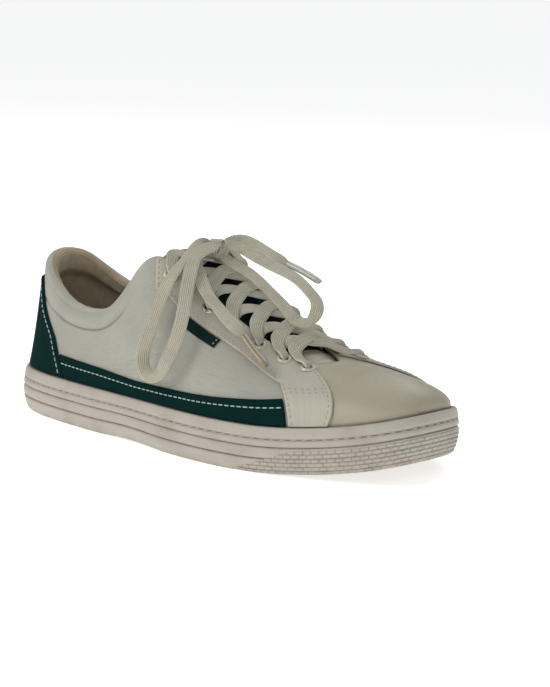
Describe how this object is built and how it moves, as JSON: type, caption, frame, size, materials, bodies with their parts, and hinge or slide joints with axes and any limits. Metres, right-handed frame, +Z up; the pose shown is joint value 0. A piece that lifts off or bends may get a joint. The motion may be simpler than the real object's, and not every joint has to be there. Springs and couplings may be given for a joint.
{
  "type": "canvas sneaker",
  "caption": "Low canvas and leather sneaker on a ribbed rubber cupsole, hollow upper with padded collar, tongue and eyestays, right shoe of its pair.",
  "frame": {"origin": "on the ground under the middle of the sole's box", "axes": "+Z up, +X along the shoe to the toe, +Y to the medial side"},
  "size_m": [0.2802, 0.1075, 0.1059],
  "materials": {
    "rubber": "moulded warm off-white rubber, matt with a faint sheen",
    "cream_canvas": "plain woven off-white canvas",
    "smooth_leather": "smooth cream leather, semi-matt",
    "green_canvas": "plain woven dark green canvas",
    "insole_textile": "flat knitted lining cloth over foam",
    "woven_label": "dense woven tape, left bare",
    "eyelet_metal": "cream painted metal ring",
    "cotton_lace": "flat woven cotton lace"
  },
  "bodies": {
    "root": {"sole": "rubber", "upper": "cream_canvas", "insole": "insole_textile", "tongue": "green_canvas", "heel_counter": "green_canvas", "side_label": "woven_label", "foxing_band_lateral": "green_canvas", "eyestay_lateral": "smooth_leather", "eyelet_lateral_1": "eyelet_metal", "eyelet_lateral_2": "eyelet_metal", "eyelet_lateral_3": "eyelet_metal", "eyelet_lateral_4": "eyelet_metal", "eyelet_lateral_5": "eyelet_metal", "eyelet_lateral_6": "eyelet_metal", "eyelet_lateral_7": "eyelet_metal", "foxing_band_medial": "green_canvas", "eyestay_medial": "smooth_leather", "eyelet_medial_1": "eyelet_metal", "eyelet_medial_2": "eyelet_metal", "eyelet_medial_3": "eyelet_metal", "eyelet_medial_4": "eyelet_metal", "eyelet_medial_5": "eyelet_metal", "eyelet_medial_6": "eyelet_metal", "eyelet_medial_7": "eyelet_metal", "lace_crossings": "cotton_lace", "lace_knot": "cotton_lace", "lace_loop_lateral": "cotton_lace", "lace_loop_medial": "cotton_lace", "lace_end_lateral": "cotton_lace", "lace_end_medial": "cotton_lace"}
  },
  "joints": []
}
